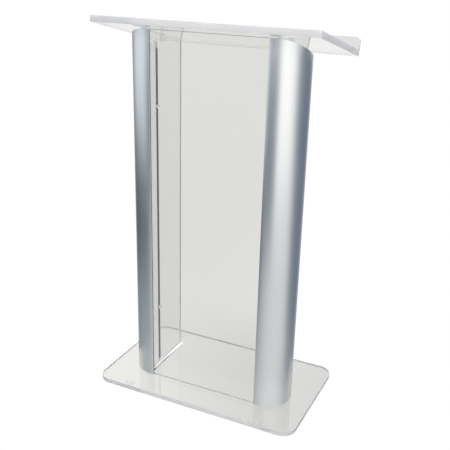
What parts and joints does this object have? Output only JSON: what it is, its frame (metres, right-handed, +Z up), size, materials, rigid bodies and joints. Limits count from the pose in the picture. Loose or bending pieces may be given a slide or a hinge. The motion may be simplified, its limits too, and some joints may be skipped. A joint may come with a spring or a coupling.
{
  "type": "presentation lectern",
  "caption": "Free-standing lectern with a clear acrylic body, a sloped reading surface with a paper stop, and curved satin aluminium columns on a clear base plate.",
  "frame": {"origin": "centre of the base at floor level, under the middle of the overall box", "axes": "+Z up; +X to the right as seen from the audience; -Y towards the audience, +Y towards the speaker"},
  "size_m": [0.686, 0.406, 1.1719],
  "materials": {
    "clear_acrylic": "gloss",
    "satin_aluminium": "satin",
    "light_liner": "satin",
    "black_foam": "matte",
    "clear_rubber": "satin",
    "clear_fixing": "gloss",
    "white_nylon": "satin",
    "zinc_steel": "satin",
    "cast_plug": "matte"
  },
  "bodies": {
    "root": {"base_plate": "clear_acrylic", "base_feet": "clear_rubber", "front_panel": "clear_acrylic", "left_side_panel": "clear_acrylic", "right_side_panel": "clear_acrylic", "left_foot_cleat": "clear_acrylic", "right_foot_cleat": "clear_acrylic", "left_top_block": "clear_acrylic", "right_top_block": "clear_acrylic", "left_column": "satin_aluminium", "right_column": "satin_aluminium", "left_column_liner": "light_liner", "right_column_liner": "light_liner", "left_side_gasket": "black_foam", "right_side_gasket": "black_foam", "left_front_gasket": "black_foam", "right_front_gasket": "black_foam", "left_column_screws": "clear_fixing", "right_column_screws": "clear_fixing", "left_column_spacers": "white_nylon", "right_column_spacers": "white_nylon", "left_column_nuts": "zinc_steel", "right_column_nuts": "zinc_steel", "left_column_plug": "cast_plug", "right_column_plug": "cast_plug", "left_plug_screws": "zinc_steel", "right_plug_screws": "zinc_steel", "reading_surface": "clear_acrylic", "paper_stop": "clear_acrylic"}
  },
  "joints": []
}
